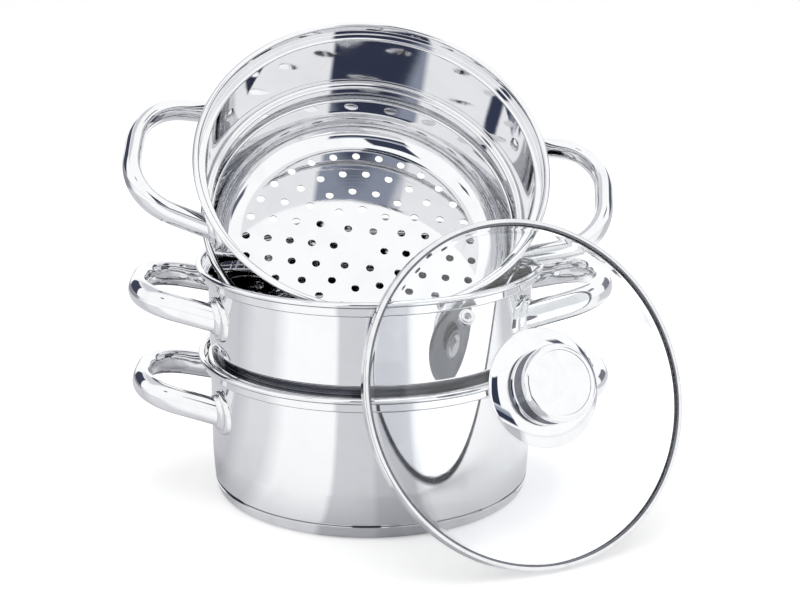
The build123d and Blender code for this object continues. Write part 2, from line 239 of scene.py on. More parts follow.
# Lengths in millimetres; clean and handled are colours, bright and dull are roughness
steelLooks = {
    "vessel": {
        "clean": (0.8, 0.805, 0.82), "handled": (0.77, 0.775, 0.79), "bright": 0.03, "dull": 0.06,
        "markSize": 26.0, "waveLength": 46.0, "waveDepth": 0.05, "linePitch": 1.1,
        "lineDepth": 0.0045, "drift": 0.3},
    "base": {
        "clean": (0.76, 0.765, 0.78), "handled": (0.7, 0.705, 0.72), "bright": 0.06, "dull": 0.12,
        "markSize": 20.0, "waveLength": 60.0, "waveDepth": 0.04, "linePitch": 0.9,
        "lineDepth": 0.003, "drift": 0.3},
    "handle": {
        "clean": (0.8, 0.805, 0.82), "handled": (0.76, 0.765, 0.78), "bright": 0.03, "dull": 0.06,
        "markSize": 14.0, "waveLength": 30.0, "waveDepth": 0.03, "linePitch": 2.5,
        "lineDepth": 0.0006, "drift": 1.5},
    "plate": {
        "clean": (0.78, 0.785, 0.8), "handled": (0.7, 0.705, 0.72), "bright": 0.04, "dull": 0.1,
        "markSize": 7.0, "waveLength": 12.0, "waveDepth": 0.02, "linePitch": 1.5,
        "lineDepth": 0.001, "drift": 1.0},
    "rivet": {
        "clean": (0.74, 0.745, 0.76), "handled": (0.66, 0.665, 0.68), "bright": 0.06, "dull": 0.14,
        "markSize": 4.0, "waveLength": 6.0, "waveDepth": 0.02, "linePitch": 1.0,
        "lineDepth": 0.001, "drift": 1.0},
    "band": {
        "clean": (0.76, 0.765, 0.78), "handled": (0.68, 0.685, 0.7), "bright": 0.05, "dull": 0.12,
        "markSize": 9.0, "waveLength": 25.0, "waveDepth": 0.02, "linePitch": 0.8,
        "lineDepth": 0.0015, "drift": 0.3},
    "knob": {
        "clean": (0.82, 0.825, 0.84), "handled": (0.78, 0.785, 0.8), "bright": 0.025, "dull": 0.06,
        "markSize": 12.0, "waveLength": 30.0, "waveDepth": 0.02, "linePitch": 0.9,
        "lineDepth": 0.0008, "drift": 0.3},
    # dark steel that paints shade into gaps, under rims and on undersides
    "crease": {
        "clean": (0.17, 0.175, 0.2), "handled": (0.12, 0.125, 0.145), "bright": 0.12, "dull": 0.3,
        "markSize": 8.0, "waveLength": 12.0, "waveDepth": 0.01, "linePitch": 0.8,
        "lineDepth": 0.002, "drift": 0.3},
    "screw": {
        "clean": (0.7, 0.705, 0.715), "handled": (0.6, 0.605, 0.62), "bright": 0.12, "dull": 0.24,
        "markSize": 4.0, "waveLength": 8.0, "waveDepth": 0.01, "linePitch": 0.6,
        "lineDepth": 0.002, "drift": 0.5, "ownAxes": False},
}
plainLooks = {
    "turned aluminium": {
        "clean": (0.76, 0.77, 0.78), "handled": (0.66, 0.67, 0.68), "bright": 0.28,
        "dull": 0.42, "markSize": 9.0, "ownAxes": False, "constants": {"Metallic": 1.0}},
    "seal silicone": {
        "clean": (0.78, 0.8, 0.81), "handled": (0.66, 0.69, 0.71), "bright": 0.4,
        "dull": 0.6, "markSize": 3.0, "ownAxes": False, "constants": {}},
    "lid glass": {
        "clean": (0.985, 0.995, 1.0), "handled": (0.96, 0.98, 0.99), "bright": 0.0,
        "dull": 0.02, "markSize": 40.0, "ownAxes": True,
        "constants": {"Transmission Weight": 1.0, "IOR": 1.5}},
}
finishes = {f"{key}_steel": steel(f"{key} steel", look) for key, look in steelLooks.items()}
finishes["vent_steel"] = finishes["band_steel"]
aluminium, silicone, finishes["lid_glass"] = (
    markedFinish(name, look)[0] for name, look in plainLooks.items())
print("materials ready")

# Sections are lists of (radius, height) in millimetres; the two welds are in metres
fineness = {"turns": 256, "bendStep": radians(6.5), "leastSteps": 3, "supportLoop": 0.25,
            "shareBefore": 0.4, "shareAfter": 0.2, "curlStep": radians(10), "leastStretch": 0.5,
            "axis": 1e-6, "weld": 1e-6, "seamWeld": 5e-6}


def bent(points, bends):  # a line whose corners are rounded, with a short step beside each bend
    path = [Vector(points[0])]
    loop = fineness["supportLoop"]
    for before, corner, after, bend in zip(points, points[1:], points[2:], bends):
        corner = Vector(corner)
        arriving = (corner - Vector(before)).normalized()
        leaving = (Vector(after) - corner).normalized()
        turn = arriving.angle_signed(leaving)
        reach = bend * tan(abs(turn) / 2)
        start, end = corner - arriving * reach, corner + leaving * reach
        side = Vector((-arriving.y, arriving.x)) * (-1 if turn > 0 else 1)
        centre = start + side * bend
        arm = start - centre
        steps = max(fineness["leastSteps"], round(abs(turn) / fineness["bendStep"]))
        path.append(start - arriving * min(loop, (start - path[-1]).length * fineness["shareBefore"]))
        for step in range(steps + 1):
            angle = -turn * step / steps
            path.append(centre + Vector((arm.x * cos(angle) - arm.y * sin(angle),
                                         arm.x * sin(angle) + arm.y * cos(angle))))
        path.append(end + leaving * min(loop, (Vector(after) - end).length * fineness["shareAfter"]))
    path.append(Vector(points[-1]))
    return path


def arc(centre, radius, start, sweep, step):
    count = max(2, round(abs(sweep) / step))
    return [Vector((centre[0] + radius * cos(start + sweep * at / count),
                    centre[1] + radius * sin(start + sweep * at / count))) for at in range(count + 1)]


def bowRadius(span, depth):  # of an arc that falls by a depth over a span from its middle
    return (span**2 + depth**2) / (2 * depth)


def bowed(span, depth, steps):  # such an arc as pairs of distance and fall
    radius = bowRadius(span, depth)
    distances = [span * step / steps for step in range(steps + 1)]
    return [(distance, radius - sqrt(radius**2 - distance**2)) for distance in distances]


def thickened(path, thickness):  # the other face of a sheet, on the right of its line
    other = []
    for at, point in enumerate(path):
        before, after = path[max(at - 1, 0)], path[min(at + 1, len(path) - 1)]
        first = (point - before).normalized() if at else (after - point).normalized()
        second = (after - point).normalized() if at < len(path) - 1 else first
        normal = Vector((first.y + second.y, -first.x - second.x)).normalized()
        stretch = normal.dot(Vector((first.y, -first.x)))
        other.append(point + normal * thickness / max(stretch, fineness["leastStretch"]))
    return other


def closedSheet(path, thickness):
    return path + thickened(path, thickness)[::-1]


def lathe(outline, turns=fineness["turns"], closed=True):  # a round mesh from its outline, poles closed
    mesh = bmesh.new()
    rings = []
    for point in outline:
        if point.x < fineness["axis"]:
            rings.append([mesh.verts.new((0, 0, point.y * mm))])
        else:
            rings.append([mesh.verts.new((point.x * mm * cos(2 * pi * turn / turns),
                                          point.x * mm * sin(2 * pi * turn / turns), point.y * mm))
                          for turn in range(turns)])
    pairs = list(zip(rings, rings[1:])) + ([(rings[-1], rings[0])] if closed else [])
    for low, high in pairs:
        for turn in range(turns):
            after = (turn + 1) % turns
            corners = [low[turn % len(low)], low[after % len(low)],
                       high[after % len(high)], high[turn % len(high)]]
            corners = list(dict.fromkeys(corners))
            if len(corners) > 2:
                mesh.faces.new(corners)
    return mesh


def toMesh(shape, recalculate=True):
    if recalculate:
        bmesh.ops.recalc_face_normals(shape, faces=shape.faces)
    mesh = bpy.data.meshes.new("mesh")
    shape.to_mesh(mesh)
    shape.free()
    return mesh


def evaluatedMesh(carrier):  # what an object's modifiers make; the object goes
    bpy.context.view_layer.update()
    made = bpy.data.meshes.new_from_object(carrier.evaluated_get(bpy.context.evaluated_depsgraph_get()))
    carrier.modifiers.clear()
    bpy.data.objects.remove(carrier)
    return made


def finishPiece(name, mesh, body, slot, nodes, sharp=28, dull=None):
    mesh.name = name
    own = mesh.attributes.new("place", "FLOAT_VECTOR", "POINT")  # the piece's own axes
    own.data.foreach_set("vector", [value for vertex in mesh.vertices for value in vertex.co])
    mesh.materials.clear()
    mesh.materials.append(finishes[slot])
    if dull:  # faces that get the dark steel: painted shade in gaps, under rims and on undersides
        mesh.materials.append(finishes["crease_steel"])
        for face in mesh.polygons:
            face.material_index = int(dull(face.center / mm, face.normal))
    mesh.transform(bodyMatrix(body))
    mesh.shade_smooth()
    mesh.set_sharp_from_angle(angle=radians(sharp))
    piece = addObject(name, mesh)
    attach(piece, body)
    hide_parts(*nodes)


# Geometry Nodes: a tree with named inputs, run on a mesh and turned back into a plain mesh
def startTree(name, inputs):
    tree = bpy.data.node_groups.new(name, "GeometryNodeTree")
    tree.interface.new_socket("Geometry", in_out="INPUT", socket_type="NodeSocketGeometry")
    for label, kind in inputs:
        tree.interface.new_socket(label, in_out="INPUT", socket_type="NodeSocket" + kind)
    tree.interface.new_socket("Geometry", in_out="OUTPUT", socket_type="NodeSocketGeometry")
    return tree, tree.nodes.new("NodeGroupInput").outputs, tree.nodes.new("NodeGroupOutput").inputs


def endTree(tree, geometry, material, result):
    real = put(tree, "GeometryNodeRealizeInstances", {0: geometry})
    finished = put(tree, "GeometryNodeSetMaterial", {"Geometry": real.outputs[0], "Material": material})
    tree.links.new(finished.outputs[0], result)


def runTree(tree, mesh, values):
    carrier = addObject("carrier", mesh)
    modifier = carrier.modifiers.new(tree.name, "NODES")
    modifier.node_group = tree
    for item in tree.interface.items_tree:
        if item.item_type == "SOCKET" and item.in_out == "INPUT" and item.name in values:
            modifier[item.identifier] = values[item.name]
    return evaluatedMesh(carrier)


def joined(tree, parts):
    join = put(tree, "GeometryNodeJoinGeometry")
    for part in parts:
        tree.links.new(part, join.inputs[0])
    return join.outputs[0]


def buildFloorTree(rings, holeSteps):  # a round plate with more holes in each ring than in the last
    tree, given, result = startTree("Perforated floor", [
        ("Floor Radius", "Float"), ("Sheet Thickness", "Float"), ("Hole Radius", "Float"),
        ("First Ring", "Float"), ("Ring Pitch", "Float"), ("Holes Per Step", "Int"),
        ("Hole Turn", "Float"), ("Edge Steps", "Int"), ("Material", "Material")])
    hole = put(tree, "GeometryNodeCurvePrimitiveCircle", {"Resolution": holeSteps,
                                                          "Radius": given["Hole Radius"]})
    circles = [put(tree, "GeometryNodeMeshCircle", {
        "Vertices": calc(tree, "MULTIPLY", given["Holes Per Step"], ring + 1.0),
        "Radius": calc(tree, "MULTIPLY_ADD", given["Ring Pitch"], float(ring), given["First Ring"])})
        for ring in range(rings)]
    spots = joined(tree, [circle.outputs[0] for circle in circles])
    holes = put(tree, "GeometryNodeInstanceOnPoints", {"Points": spots, "Instance": hole.outputs[0]})
    turned = put(tree, "GeometryNodeTransform", {
        "Geometry": put(tree, "GeometryNodeRealizeInstances", {0: holes.outputs[0]}).outputs[0],
        "Rotation": combine(tree, z=given["Hole Turn"])})
    edge = put(tree, "GeometryNodeCurvePrimitiveCircle", {"Resolution": given["Edge Steps"],
                                                          "Radius": given["Floor Radius"]})
    plate = put(tree, "GeometryNodeFillCurve", {0: joined(tree, [turned.outputs[0], edge.outputs[0]])})
    raised = put(tree, "GeometryNodeExtrudeMesh", {
        "Mesh": plate.outputs[0], "Offset": (0, 0, 1), "Offset Scale": given["Sheet Thickness"],
        "Individual": False}, mode="FACES")
    both = joined(tree, [plate.outputs[0], raised.outputs["Mesh"]])
    merged = put(tree, "GeometryNodeMergeByDistance", {"Geometry": both, "Distance": fineness["weld"]})
    endTree(tree, merged.outputs[0], given["Material"], result[0])
    return tree


def buildRivetTree():  # four rivets, one in each leg of the two handles
    tree, given, result = startTree("Rivets round the wall", [
        ("Leg Angle", "Float"), ("Seat Radius", "Float"), ("Height", "Float"),
        ("Material", "Material")])
    index = put(tree, "GeometryNodeInputIndex").outputs[0]
    side = calc(tree, "FLOOR", calc(tree, "DIVIDE", index, 2.0))
    sign = calc(tree, "SUBTRACT", 1.0, calc(tree, "MULTIPLY", calc(tree, "MODULO", index, 2.0), 2.0))
    angle = calc(tree, "ADD", calc(tree, "MULTIPLY", side, pi),
                 calc(tree, "MULTIPLY", sign, given["Leg Angle"]))
    place = combine(tree, calc(tree, "MULTIPLY", calc(tree, "COSINE", angle), given["Seat Radius"]),
                    calc(tree, "MULTIPLY", calc(tree, "SINE", angle), given["Seat Radius"]),
                    given["Height"])
    spots = put(tree, "GeometryNodePoints", {"Count": 4, "Position": place})
    rivets = put(tree, "GeometryNodeInstanceOnPoints", {
        "Points": spots.outputs[0], "Instance": given["Geometry"],
        "Rotation": combine(tree, y=pi / 2, z=angle)})
    endTree(tree, rivets.outputs[0], given["Material"], result[0])
    return tree


# What the three vessels share; faces under the rim get painted shade past these sizes and this slope
rim = {"body": 90.0, "wall": 0.7, "sharpBend": 0.5, "roundBend": 1.5, "ledgeWidth": 3.9,
       "ledgeDepth": 6.0, "lipRoll": 1.7, "lipTurn": radians(250),
       "shadeReach": 10.0, "shadeInset": 1.2, "shadeSlope": -0.5}
innerRadius = rim["body"] - rim["wall"]
bandRadius = rim["body"] + rim["ledgeWidth"]


def rimmedPath(points, bends, lip):  # adds the ledge, the band and the rolled lip to a vessel's wall
    ledge, band = lip - rim["ledgeDepth"], bandRadius - rim["wall"]
    points = points + [(innerRadius, ledge), (band, ledge), (band, lip)]
    bends = bends + [rim["sharpBend"] + rim["wall"], rim["sharpBend"]]
    curl = arc((band + rim["lipRoll"], lip), rim["lipRoll"], pi, -rim["lipTurn"], fineness["curlStep"])
    return bent(points, bends) + curl[1:]


# down-facing faces under a rim, which get painted shade
def underRim(centre, normal, height):
    return (centre.z > height - rim["shadeReach"] and centre.xy.length > rim["body"] + rim["shadeInset"]
            and normal.z < rim["shadeSlope"])


# Pot: a vessel with a steel cap under its floor
pot = {"height": 81.2, "heelInset": 1.0, "heelHeight": 20.0, "heelBend": 5.0, "floor": 5.0,
       "capSheet": 0.6, "capCorner": 87.0, "capRadius": 89.6, "capHeight": 7.5, "capBend": 4.0}


def makePot():
    top, wall = pot["floor"] + rim["wall"], rim["wall"]
    points = [(0, top), (innerRadius - pot["heelInset"], top),
              (innerRadius, pot["floor"] + pot["heelHeight"])]
    bends = [pot["heelBend"] - wall, pot["heelHeight"]]
    path = rimmedPath(points, bends, pot["height"] - rim["lipRoll"])
    finishPiece("potVessel", toMesh(lathe(closedSheet(path, wall))), "pot", "vessel_steel",
                ["pot_shell"], dull=lambda centre, normal: underRim(centre, normal, pot["height"]))
    path = bent([(0, 0), (pot["capCorner"], 0), (pot["capRadius"], pot["capHeight"])], [pot["capBend"]])
    finishPiece("potBaseCap", toMesh(lathe(closedSheet(path, -pot["capSheet"]))), "pot",
                "base_steel", ["pot_base_cap"])


# Steamer: the waist above its bead gets painted shade, from a little under it to a little over it
steamer = {"height": 88.9, "seat": 30.3, "neck": 85.3, "floorBend": 16.0, "shoulder": 91.6,
           "shoulderHeight": 6.4, "waist": 86.3, "waistHeight": 4.5, "floorPlate": 68.9,
           "seamPlay": 0.03, "holeDiameter": 4.7, "holeSteps": 20, "firstRing": 14.8, "ringPitch": 12.8,
           "rings": 5, "holesPerStep": 6, "holeTurn": radians(-0.9), "shadeUnder": 0.2, "shadeOver": 0.6,
           "shadeInside": 0.1, "shadeOutside": 2.6, "shadeFlat": 0.5}
floorTree = buildFloorTree(steamer["rings"], steamer["holeSteps"])


def makeSteamer(body, name):
    wall, seat = rim["wall"], steamer["seat"] + rim["wall"]
    top = steamer["seat"] + steamer["shoulderHeight"] - wall
    low = steamer["seat"] + steamer["shoulderHeight"] + steamer["waistHeight"] + wall
    neck, shoulder, waist = (steamer[part] - wall for part in ("neck", "shoulder", "waist"))
    points = [(steamer["floorPlate"], wall), (neck, wall), (neck, seat), (shoulder, seat),
              (shoulder, top), (waist, top), (waist, low), (innerRadius, low)]
    bends = [steamer["floorBend"] - wall, rim["sharpBend"] + wall, rim["roundBend"], rim["roundBend"],
             rim["sharpBend"] + wall, rim["sharpBend"] + wall, rim["roundBend"]]
    path = rimmedPath(points, bends, steamer["height"] - rim["lipRoll"])
    shape = lathe(closedSheet(path, wall), closed=False)
    shape.from_mesh(runTree(floorTree, bpy.data.meshes.new("floorPlate"), {
        "Floor Radius": steamer["floorPlate"] * mm, "Sheet Thickness": wall * mm,
        "Hole Radius": steamer["holeDiameter"] / 2 * mm, "First Ring": steamer["firstRing"] * mm,
        "Ring Pitch": steamer["ringPitch"] * mm, "Holes Per Step": steamer["holesPerStep"],
        "Hole Turn": steamer["holeTurn"], "Edge Steps": fineness["turns"],
        "Material": finishes["vessel_steel"]}))

    def onSeam(face):  # the floor plate's own edge, where it runs into the wall
        heights = [vertex.co.z for vertex in face.verts]
        return max(heights) - min(heights) > wall / 2 * mm and all(
            abs(vertex.co.xy.length / mm - steamer["floorPlate"]) < steamer["seamPlay"]
            for vertex in face.verts)

    seam = [face for face in shape.faces if onSeam(face)]
    bmesh.ops.delete(shape, geom=seam, context="FACES")
    bmesh.ops.remove_doubles(shape, verts=shape.verts, dist=fineness["seamWeld"])
    openEdges = sum(1 for edge in shape.edges if len(edge.link_faces) != 2)
    print(f"{name} shell: {len(seam)} joining faces removed, {openEdges} open edges")

    # faces in the gap between the tiers and under the rim, which get painted shade
    def steamerShadeFaces(centre, normal):
        if underRim(centre, normal, steamer["height"]):
            return True
        beside = waist - steamer["shadeInside"] < centre.xy.length < waist + steamer["shadeOutside"]
        level = top - steamer["shadeUnder"] < centre.z < low + steamer["shadeOver"]
        onBead = normal.z > steamer["shadeFlat"] and centre.z < (top + low) / 2
        return beside and level and (normal.xy.dot(centre.xy) > 0 or onBead)

    finishPiece(f"{name}Vessel", toMesh(shape), body, "vessel_steel", [f"{body}_shell"], dull=steamerShadeFaces)


# Handles: a loop of flattened tube on two oval end plates, in a plane that rises outward
handle = {"width": 10.0, "height": 15.0, "reach": 43.6, "legSpacing": 78.0, "tipSpacing": 61.0,
          "corner": 29.5, "rise": radians(13), "legDepth": 23.5, "potDrop": 2.0, "overrun": 10.0,
          "tubeSink": 0.4, "entryStep": 1.5, "entryClear": 4.5, "plateWidth": 18.0, "plateHeight": 23.0,
          "plateThickness": 2.2, "plateGap": 0.05, "plateEdge": 0.9, "edgeSteps": 5, "collarWidth": 1.7,
          "collarHeight": 2.0, "collarTurn": radians(75), "collarSink": 0.4,
          "flangeSoft": (0.15, 0.08), "flangeStart": 0.5, "shadeSlope": -0.68, "around": 48, "along": 96}
legHalf = handle["legSpacing"] / 2
legLine = sqrt(rim["body"]**2 - legHalf**2)
tipReach = (rim["body"] + handle["reach"] - legLine) / cos(handle["rise"]) - handle["width"] / 2
legNarrowing = (handle["legSpacing"] - handle["tipSpacing"]) / 2
planeOut = Vector((cos(handle["rise"]), 0, sin(handle["rise"])))
planeUp = Vector((-sin(handle["rise"]), 0, cos(handle["rise"])))
ovalAngles = [2 * pi * around / handle["around"] for around in range(handle["around"])]


def handleStations(height):  # centres of the tube's cross-sections, from leg to leg
    overrun, half = handle["overrun"], handle["tipSpacing"] / 2
    start = legHalf + overrun * legNarrowing / tipReach
    path = bent([(-overrun, start), (tipReach, half), (tipReach, -half), (-overrun, -start)],
                [handle["corner"]] * 2)
    lengths = [0.0]
    for first, second in zip(path, path[1:]):
        lengths.append(lengths[-1] + (second - first).length)
    stations, at = [], 0
    for step in range(handle["along"] + 1):
        length = lengths[-1] * step / handle["along"]
        while at < len(path) - 2 and lengths[at + 1] < length:
            at += 1
        share = (length - lengths[at]) / (lengths[at + 1] - lengths[at])
        flat = path[at].lerp(path[at + 1], share)
        stations.append(Vector((legLine, 0, height)) + planeOut * flat.x + Vector((0, flat.y, 0)))
    return stations


def legFrame(height, sign):  # a leg's start, the oval's two directions and the way out
    out = (planeOut * tipReach + Vector((0, -sign * legNarrowing, 0))).normalized()
    return Vector((legLine, sign * legHalf, height)), planeUp.cross(out).normalized(), planeUp, out


def oval(centre, side, up, wide, tall):
    return [centre + side * (wide * cos(angle)) + up * (tall * sin(angle)) for angle in ovalAngles]


def onWall(start, out, radius):  # where a line meets an upright cylinder
    a, b = out.x**2 + out.y**2, start.x * out.x + start.y * out.y
    c = start.x**2 + start.y**2 - radius**2
    return start + out * ((-b + sqrt(b * b - a * c)) / a)


def addPoint(shape, point, turned):  # the left handle is the right one turned half round
    return shape.verts.new((-point.x * mm, -point.y * mm, point.z * mm) if turned else point * mm)


def addSleeve(shape, sections, turned):  # a skin over a row of closed sections
    rings = [[addPoint(shape, point, turned) for point in section] for section in sections]
    count = handle["around"]
    for low, high in zip(rings, rings[1:]):
        for around in range(count):
            after = (around + 1) % count
            shape.faces.new((low[around], low[after], high[after], high[around]))
    return rings


def handleMesh(height, turned):
    stations = handleStations(height)
    entry = rim["body"] + handle["plateThickness"] - handle["tubeSink"]
    wide, tall, count = handle["width"] / 2, handle["height"] / 2, handle["around"]

    def leg(sign):  # the last two sections of a leg, the outer one in the plate
        origin, side, up, out = legFrame(height, sign)
        inPlate = [onWall(point, out, entry) for point in oval(origin, side, up, wide, tall)]
        return inPlate, [point + out * handle["entryStep"] for point in inPlate]

    sections = [*leg(1)]
    for at, centre in enumerate(stations):
        if centre.to_2d().length > entry + handle["entryClear"]:
            ahead = (stations[min(at + 1, len(stations) - 1)] - stations[max(at - 1, 0)]).normalized()
            sections.append(oval(centre, planeUp.cross(ahead).normalized(), planeUp, wide, tall))
    # the last leg's sections run the other way round, so their order is turned
    sections += [[section[(count // 2 - around) % count] for around in range(count)]
                 for section in reversed(leg(-1))]
    shape = bmesh.new()
    rings = addSleeve(shape, sections, turned)
    for end in (rings[0], rings[-1]):
        shape.faces.new(end)
    return toMesh(shape)


def addPlate(shape, height, sign, turned):
    origin, side, up, out = legFrame(height, sign)
    face, back = rim["body"] + handle["plateThickness"], rim["body"] + handle["plateGap"]
    wide, tall, edge = handle["plateWidth"] / 2, handle["plateHeight"] / 2, handle["plateEdge"]
    collar, lift, count = handle["collarWidth"], handle["collarHeight"], handle["edgeSteps"]
    tube = wide - handle["width"] / 2
    soft, rise = handle["flangeSoft"]
    collarTurns = [handle["collarTurn"] * step / count for step in range(count + 1)]
    edgeTurns = [pi / 2 * step / count for step in range(count + 1)]
    # inset from the plate's outline and distance from the vessel's axis, from the collar to the back
    rows = [(tube + handle["collarSink"], face + lift)]
    rows += [(tube - collar * sin(turn), face + lift * cos(turn)) for turn in collarTurns]
    rows += [(tube - collar - soft, face + rise), (tube - collar - handle["flangeStart"], face)]
    rows += [(edge * (1 - sin(turn)), face - edge * (1 - cos(turn))) for turn in edgeTurns]
    rows += [(0, back), (wide / 2, back)]
    away = out * handle["overrun"]
    rings = addSleeve(shape, [[onWall(point - away, out, radius)
                               for point in oval(origin, side, up, wide - inset, tall - inset)]
                              for inset, radius in rows], turned)
    for end, radius in ((rings[0], face + lift), (rings[-1], back)):
        middle = addPoint(shape, onWall(origin - away, out, radius), turned)
        for first, second in zip(end, end[1:] + end[:1]):
            shape.faces.new((first, second, middle))


# Rivet: its head is inside the vessel
rivet = {"shank": 4.0, "length": 4.2, "head": 8.0, "dome": 1.9, "domeSteps": 6, "underHead": 0.12,
         "gap": 0.1, "turns": 32}


def rivetMesh():
    head, dome, shank = rivet["head"] / 2, rivet["dome"], rivet["shank"] / 2
    bend = bowRadius(head, dome)
    span = asin(head / bend)
    outline = [Vector((bend * sin(span * step / rivet["domeSteps"]),
                       bend - dome - bend * cos(span * step / rivet["domeSteps"])))
               for step in range(rivet["domeSteps"] + 1)]
    outline += [Vector((head, rivet["underHead"])), Vector((shank, rivet["underHead"])),
                Vector((shank, rivet["length"])), Vector((0, rivet["length"]))]
    return toMesh(lathe(outline, turns=rivet["turns"], closed=False))


rivetTree = buildRivetTree()


def makeHandles(body, name, height):
    for side, turned in (("Right", False), ("Left", True)):
        # the tubes' undersides get the dark steel, painted shade
        finishPiece(f"{name}Handle{side}", handleMesh(height, turned), body, "handle_steel",
                    [f"{body}_handle_{side.lower()}"],
                    dull=lambda centre, normal: normal.dot(planeUp) < handle["shadeSlope"])
    shape = bmesh.new()
    for turned in (False, True):
        for sign in (1, -1):
            addPlate(shape, height, sign, turned)
    finishPiece(f"{name}HandlePlates", toMesh(shape), body, "plate_steel", [f"{body}_handle_plates"])
    seat = sqrt(innerRadius**2 - (rivet["head"] / 2)**2) - rivet["gap"]
    mesh = runTree(rivetTree, rivetMesh(), {
        "Leg Angle": asin(legHalf / rim["body"]), "Seat Radius": seat * mm, "Height": height * mm,
        "Material": finishes["rivet_steel"]})
    finishPiece(f"{name}Rivets", mesh, body, "rivet_steel", [f"{body}_rivets"])


makePot()
makeSteamer("lower_steamer", "lowerSteamer")
makeSteamer("upper_steamer", "upperSteamer")
print("vessels made")
makeHandles("pot", "pot", pot["height"] - rim["lipRoll"] - handle["legDepth"] - handle["potDrop"])
for body, name in (("lower_steamer", "lowerSteamer"), ("upper_steamer", "upperSteamer")):
    makeHandles(body, name, steamer["height"] - rim["lipRoll"] - handle["legDepth"])
print("handles made")

# Lid: pressed glass in a steel channel, with a stepped steam vent
lid = {"radius": 91.0, "glass": 4.0, "apex": 22.5, "brim": 4.5, "brimBend": 3.0, "glassRound": 1.2,
       "roundStep": radians(18), "centreHole": 2.8, "domeSteps": 44, "bandSheet": 0.5,
       "bandFlange": 3.2, "bandBend": 1.0, "bandGap": 0.15, "bandEdge": (0.2, 0.12), "shadeEdge": 1.0,
       "ventRadius": 52.5, "ventAngle": radians(139), "ventHole": 5.6, "cut": (-9.0, 5.0),
       "cutTurns": 40}
glassEdge = lid["radius"] - lid["bandSheet"] - lid["bandGap"]
brimInner = glassEdge - lid["brim"]
brimTop = lid["bandSheet"] + lid["bandGap"] + lid["glass"]
domeRadius = bowRadius(brimInner, lid["apex"] - brimTop)


def glassHeight(radius):
    return lid["apex"] - domeRadius + sqrt(domeRadius**2 - radius**2)


def ventMatrix():
    slope, turn = asin(lid["ventRadius"] / domeRadius), lid["ventAngle"]
    place = Vector((lid["ventRadius"] * cos(turn), lid["ventRadius"] * sin(turn),
                    glassHeight(lid["ventRadius"])))
    normal = Vector((sin(slope) * cos(turn), sin(slope) * sin(turn), cos(slope)))
    matrix = normal.to_track_quat("Z", "Y").to_matrix().to_4x4()
    matrix.translation = place * mm
    return matrix


def makeGlass():
    start, soft, steps = lid["centreHole"], lid["glassRound"], lid["domeSteps"]
    radii = [start + (brimInner - soft - start) * step / steps for step in range(steps + 1)]
    path = [Vector((radius, glassHeight(radius))) for radius in radii]
    # the dome runs into the flat brim through a small bend
    path += bent([path[-1], (brimInner, brimTop), (glassEdge - soft, brimTop)], [lid["brimBend"]])[1:]
    under = thickened(path, lid["glass"])
    edge = arc((glassEdge - soft, brimTop - soft), soft, pi / 2, -pi / 2, lid["roundStep"])
    lowEdge = arc((glassEdge - soft, brimTop - lid["glass"] + soft), soft, 0, -pi / 2, lid["roundStep"])
    outline = path + edge[1:] + lowEdge + under[:-1][::-1]
    carrier = addObject("carrier", toMesh(lathe(outline)))
    hole, (low, high) = lid["ventHole"] / 2, lid["cut"]
    outline = [Vector(point) for point in ((0, low), (hole, low), (hole, high), (0, high))]
    cutter = addObject("cutter", toMesh(lathe(outline, turns=lid["cutTurns"], closed=False)))
    cutter.data.transform(ventMatrix())
    cut = carrier.modifiers.new("vent hole", "BOOLEAN")
    cut.object, cut.operation, cut.solver = cutter, "DIFFERENCE", "EXACT"
    made = evaluatedMesh(carrier)
    bpy.data.objects.remove(cutter)
    finishPiece("lidGlass", made, "lid", "lid_glass", ["lid_glass"], sharp=40)


def makeBand():
    height = lid["glass"] + 2 * (lid["bandSheet"] + lid["bandGap"])
    radius, inner = lid["radius"], lid["radius"] - lid["bandFlange"]
    path = bent([(inner, 0), (radius, 0), (radius, height), (inner, height)], [lid["bandBend"]] * 2)
    # a ring of points marks where the painted shade at the inner edge ends
    seam = Vector((lid["shadeEdge"], 0))
    path = [path[0], path[0] + seam] + path[1:-1] + [path[-1] + seam, path[-1]]
    other = thickened(path, -lid["bandSheet"])
    # the free edges of the channel are rounded over
    inward, down = lid["bandEdge"]
    falling, rising = Vector((-inward, -down)), Vector((-inward, down))
    outline = (path + [path[-1] + falling, other[-1] + rising] + other[::-1]
               + [other[0] + falling, path[0] + rising])
    # the channel's inner edge gets the dark steel, a painted dark line of shade where it meets the
    # glass
    finishPiece("lidRimBand", toMesh(lathe(outline)), "lid", "band_steel", ["lid_rim_band"],
                dull=lambda centre, normal: centre.xy.length < inner + lid["shadeEdge"])


vent = {"bore": 3.5, "tube": 5.2, "collar": 8.3, "collarHeight": 1.6, "step": 6.4, "stepHeight": 0.7,
        "foot": 7.4, "footHeight": 0.8, "gap": 0.05, "edge": 0.25, "stepEdge": 0.2, "footEdge": 0.15,
        "corner": 0.02, "turns": 64}


def makeVent():
    parts = ("bore", "step", "collar", "tube", "foot")
    bore, step, collar, tube, foot = (vent[part] / 2 for part in parts)
    low, edge, corner = -lid["glass"] - vent["gap"], vent["edge"], vent["corner"]
    sole = low - vent["footHeight"]
    points = [(bore, 0), (bore, vent["collarHeight"]), (step, vent["collarHeight"]),
              (step, vent["stepHeight"]), (collar, vent["stepHeight"]), (collar, vent["gap"]),
              (tube, vent["gap"]), (tube, low), (foot, low), (foot, sole), (bore, sole), (bore, 0)]
    bends = [edge, edge, vent["stepEdge"], edge, corner, corner, corner, vent["footEdge"], edge,
             vent["footEdge"]]
    mesh = toMesh(lathe(bent(points, bends)[:-1], turns=vent["turns"]))
    mesh.transform(ventMatrix())
    finishPiece("lidVent", mesh, "lid", "vent_steel", ["lid_vent_eyelet"], sharp=50)


